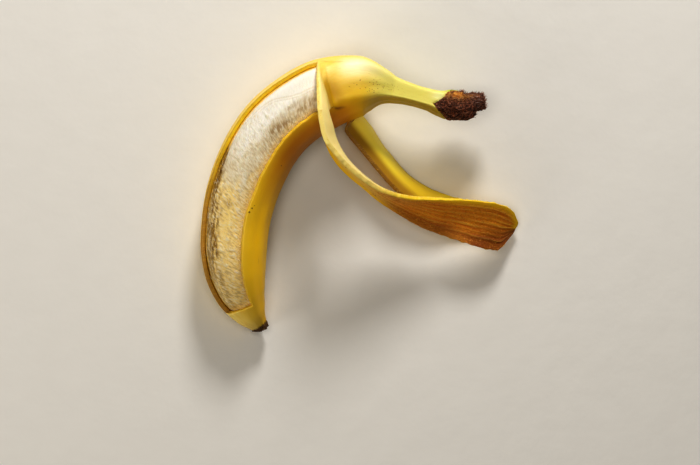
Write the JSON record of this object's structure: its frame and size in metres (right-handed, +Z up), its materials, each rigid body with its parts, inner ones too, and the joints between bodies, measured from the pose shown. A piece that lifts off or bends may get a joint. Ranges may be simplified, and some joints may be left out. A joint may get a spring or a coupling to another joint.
{
  "type": "part-peeled plantain banana",
  "caption": "Curved yellow banana-type fruit lying on its side, with strips of peel turned back toward the stalk from the pale flesh.",
  "frame": {"origin": "on the surface the fruit lies on, under the middle of its bounding box", "axes": "+Z up from the surface; the fruit's curve lies in the XY plane, its blossom end toward -Y and its stalk pointing along +X"},
  "size_m": [0.1614, 0.1387, 0.0551],
  "materials": {
    "peel": "satin",
    "pulp": "matt"
  },
  "bodies": {
    "root": {"peel": "peel", "pulp": "pulp"}
  },
  "joints": []
}
